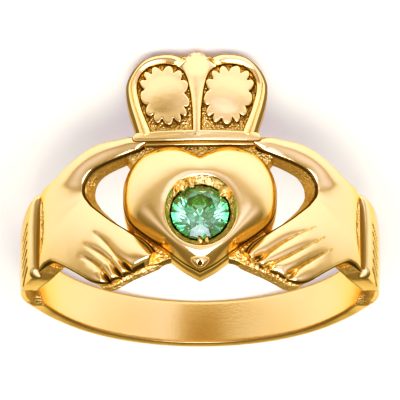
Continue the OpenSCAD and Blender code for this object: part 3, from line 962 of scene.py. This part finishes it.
def web():
    """Sunk metal between the crown and the heart, and from the fingertips to the heart."""
    loop = outline([Vector((x * CROWN_HALF, u)) for x, u in WEB_ABOVE], 180)
    plate("web_above", loop, Vector((0, 2.6)), 0.018, 0.95, 0.06,
          [POLISH, STIPPLE], rings=40, wall=CAST, face=CAST, bumps=0.03)
    for side, name in ((-1, "web_left"), (1, "web_right")):
        loop = outline([heart_point(side * x, u) for x, u in WEB_FLANK], 120)
        plate(name, loop, Vector((side * 2.6, -2.6)), 0.018, 0.7, 0.06,
              [POLISH, ROUGH], rings=24, wall=CAST, face=CAST, bumps=0.06)


# The line of the rim under the fingertips: [angle, height].
TIP_FOOT = [
    [12.5, -3.42], [14, -3.62], [18, -3.84], [22, -4.02], [26.5, -4.26], [30.5, -4.42], [34, -4.3],
    [36, -4.0],
]


def tip_rim(name, side, high):
    """The thin rough rim that the fingertips lie on."""
    along, across = 160, 24
    # The rim's section: [across, thickness].
    section = [[0, 0.018], [0, high - 0.16], [0.05, high - 0.06], [0.3, high], [0.65, high], [0.7, 0.018]]

    def place(i, j):
        a, u = curve(TIP_FOOT, i / along)
        taper = math.sqrt(max(1 - (2 * i / along - 1) ** 8, 0))
        d, t = curve(section, j / across, closed=True)
        spot = at(a, u + d * taper, FINGER_R + t * taper + 0.02)
        spot += rough(spot, 0.16, 0.05) * spot.normalized() * (1 if t > 0.2 else 0)
        spot.x *= side
        return spot

    bm = sheet(along, across, place)
    painted(bm, lambda p: CAST)
    finished(name, bm, [POLISH, ROUGH])


band()
hand("hand_left", -1, LEFT_LINES, 0.1, 1)
hand("hand_right", 1, RIGHT_LINES, 0.075, 0)
cuff("cuff_left", -1)
cuff("cuff_right", 1)
heart()
nub()
claw("claw_left", 124, 0.27, 1.3)
claw("claw_left_small", 106, 0.2, 1.5)
claw("claw_right", 40, 0.22, 1.7)
claw("claw_foot", -90, 0.15, 1.3)
claw("claw_foot_small", -78, 0.13, 1.4)
crown()
web()
tip_rim("tip_rim_left", -1, 0.56)
tip_rim("tip_rim_right", 1, 0.78)
lump("lump_left", -19.4, 2.4, FINGER_R + 0.75, 0.13)
lump("lump_right", 18.2, 2.45, FINGER_R + 0.75, 0.12)
for number, (angle, u) in enumerate([[15, -3.55], [18.2, -3.72], [22, -3.9], [25, -4.08], [27.6, -4.22]]):
    lump(f"tip_lump_right_{number}", angle, u, FINGER_R + 0.8, 0.14 + 0.02 * (number % 2))

# The stone is the frame's own node, with its facets, and takes only its finish here.
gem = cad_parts["stone"]
gem.data.materials.clear()
gem.data.materials.append(GREEN)


# The studio's soft lights: [degrees to the picture's right of the front, height, sharpness, brightness].
GLOWS = [[12, 2, 12, 1.5], [0, 50, 22, 2.4], [-66, 24, 7, 0.85], [66, 24, 7, 1.0], [180, 50, 8, 0.3]]
SKY_DIM = (1, 0.82, 0.55, 1)
SKY_BRIGHT = (1, 1, 1.1, 1)
SKY_LEAST = 0.24
# The picture's grade: [value in, value out] on the green curve and on the blue one.
GREEN_CURVE = [[0.42, 0.4], [0.75, 0.785]]
BLUE_CURVE = [[0.1, 0.06], [0.2, 0.2], [0.3, 0.42], [0.5, 0.66], [0.75, 0.87]]

# The camera: the picture's width and a millimetre's in picture points, how far above the ring's middle it
# aims in picture points, its distance and its sensor's width in millimetres, and its angle to the ring.
PICTURE = 400
POINTS_PER_MM = 18.73
AIM_UP = 64
DISTANCE = 300
SENSOR = 36
SIGHT = math.radians(68.4)


def towards(azimuth, height):
    """The direction of a lamp, in degrees to the picture's right of the front and above the floor."""
    a, h = math.radians(azimuth), math.radians(height)
    return Vector((-math.sin(a) * math.cos(h), -math.cos(a) * math.cos(h), math.sin(h)))


def studio():
    """The grade, the sky with its soft lights and the pale floor."""
    scene = bpy.context.scene
    scene.view_settings.view_transform = "Standard"
    scene.view_settings.use_curve_mapping = True
    grade = scene.view_settings.curve_mapping
    for channel, points in ((1, GREEN_CURVE), (2, BLUE_CURVE)):
        for x, y in points:
            grade.curves[channel].points.new(x, y)
    grade.update()
    world = bpy.data.worlds.new("studio")
    scene.world = world
    sky = Tree(world)
    way = sky.node("ShaderNodeTexCoord", output="Generated")
    glow = None
    for azimuth, height, sharpness, brightness in GLOWS:
        aims = {0: way, 1: towards(azimuth, height)}
        near = sky.node("ShaderNodeVectorMath", {"operation": "DOT_PRODUCT"}, aims, output="Value")
        part = ((near - 1) * sharpness).exp() * brightness
        glow = part if glow is None else glow + part
    background = sky.tree.nodes["Background"]
    sky.set(background, "Color", sky.blend(glow / (glow + 0.3), SKY_DIM, SKY_BRIGHT))
    sky.set(background, "Strength", glow + SKY_LEAST)

    bm = bmesh.new()
    bmesh.ops.create_grid(bm, x_segments=8, y_segments=8, size=2.0)
    mesh = bpy.data.meshes.new("floor")
    bm.to_mesh(mesh)
    bm.free()
    paper = Finish("pale_paper", Roughness=0.9)
    paper.set(paper.shader, "Base Color", paper.blend(paper.clouds(3.0), PAPER, PALE_PAPER))
    mesh.materials.append(paper.material)
    floor = bpy.data.objects.new("floor", mesh)
    bpy.context.collection.objects.link(floor)


def softbox(name, azimuth, height, distance, size, brightness):
    """A square lamp that points at the ring; its brightness is what a mirror would show of it."""
    where = distance * towards(azimuth, height)
    data = bpy.data.lights.new(name, "AREA")
    data.shape = "SQUARE"
    data.size = size
    data.energy = brightness * math.pi * size * size
    lamp = bpy.data.objects.new(name, data)
    lamp.location = where
    lamp.rotation_euler = where.to_track_quat("Z", "Y").to_euler()
    bpy.context.collection.objects.link(lamp)


def camera():
    """The photograph's angle to the ring, with the crown up in the picture."""
    turn = REST.to_3x3().normalized()
    to_eye = turn @ Vector((0, -math.sin(SIGHT), -math.cos(SIGHT)))
    up = turn @ Vector((0, -math.cos(SIGHT), math.sin(SIGHT)))
    middle = Vector((0, SHIFT * MM, LIFT * MM))
    eye = middle + DISTANCE * MM * to_eye
    aim = middle + AIM_UP / POINTS_PER_MM * MM * up
    back = (eye - aim).normalized()
    right = up.cross(back).normalized()
    data = bpy.data.cameras.new("camera")
    data.lens = SENSOR * DISTANCE * POINTS_PER_MM / PICTURE
    lens = bpy.data.objects.new("camera", data)
    axes = Matrix((right, back.cross(right), back)).transposed().to_4x4()
    lens.matrix_world = Matrix.Translation(eye) @ axes
    bpy.context.collection.objects.link(lens)
    bpy.context.scene.camera = lens


studio()
softbox("overhead", 8, 68, 0.055, 0.045, 6.2)
camera()
